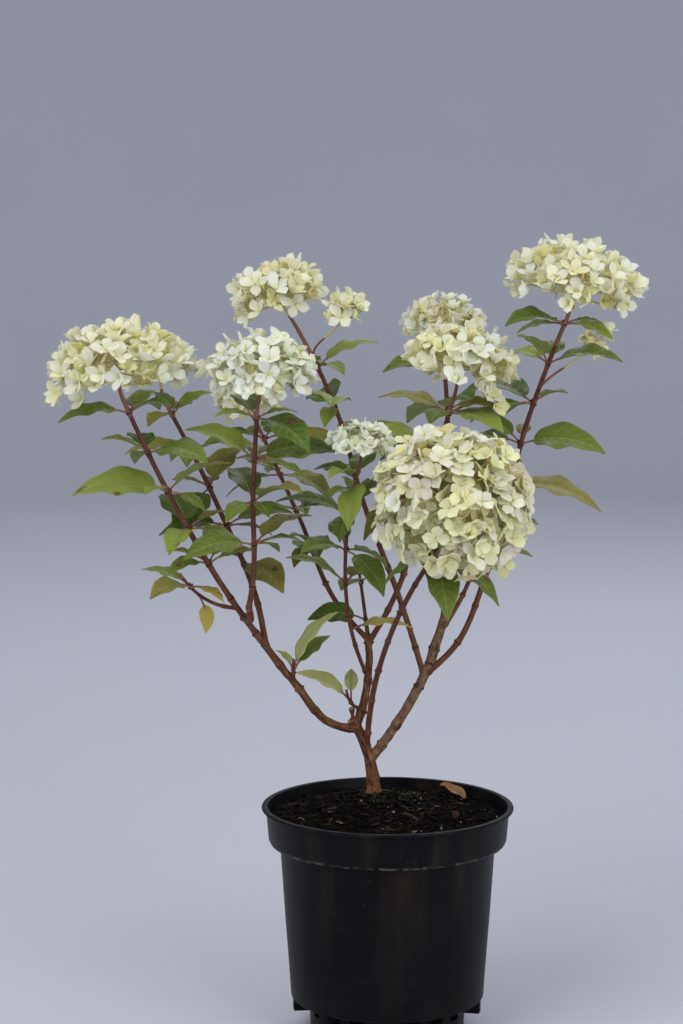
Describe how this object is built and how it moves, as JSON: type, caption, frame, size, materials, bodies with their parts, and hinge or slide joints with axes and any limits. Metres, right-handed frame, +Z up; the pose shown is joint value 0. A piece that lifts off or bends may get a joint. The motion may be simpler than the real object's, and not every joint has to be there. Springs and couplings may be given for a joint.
{
  "type": "potted hydrangea shrub",
  "caption": "Panicle hydrangea shrub in a round nursery pot, with a short trunk, forking canes, opposite leaves and domed cream flower heads, standing on its flat base.",
  "frame": {"origin": "centre of the pot's flat underside", "axes": "+Z up the plant, +X to the right and +Y to the back as seen from its front"},
  "size_m": [0.5106, 0.3972, 0.6936],
  "materials": {
    "pot_plastic": "matte",
    "compost": "rough, damp",
    "old_bark": "peeling bark",
    "cane_bark": "smooth bark",
    "leaves": "satin",
    "petals": "matte"
  },
  "bodies": {
    "root": {"pot": "pot_plastic", "soil": "compost", "trunk": "old_bark", "right_bough": "old_bark", "left_bough": "old_bark", "centre_bough": "old_bark", "right_stub": "old_bark", "left_spur": "cane_bark", "left_twig": "cane_bark", "front_cane": "cane_bark", "left_outer_cane": "cane_bark", "left_inner_cane": "cane_bark", "left_front_cane": "cane_bark", "inner_cane": "cane_bark", "back_cane": "cane_bark", "right_cane": "cane_bark", "thin_cane": "cane_bark", "rear_left_cane": "cane_bark", "middle_cane": "cane_bark", "rear_right_cane": "cane_bark", "front_leaves": "leaves", "left_outer_leaves": "leaves", "left_inner_leaves": "leaves", "left_front_leaves": "leaves", "inner_leaves": "leaves", "back_leaves": "leaves", "right_leaves": "leaves", "thin_leaves": "leaves", "rear_left_leaves": "leaves", "middle_leaves": "leaves", "rear_right_leaves": "leaves", "left_twig_leaves": "leaves", "centre_twig_leaves": "leaves", "low_twig_leaves": "leaves", "left_low_twig_leaves": "leaves", "left_outer_head": "petals", "left_inner_head": "petals", "left_front_head": "petals", "inner_head": "petals", "inner_side_head": "petals", "thin_head": "petals", "rear_left_head": "petals", "middle_head": "petals", "back_head": "petals", "right_head": "petals", "right_side_head": "petals", "front_head": "petals", "rear_right_head": "petals"}
  },
  "joints": []
}
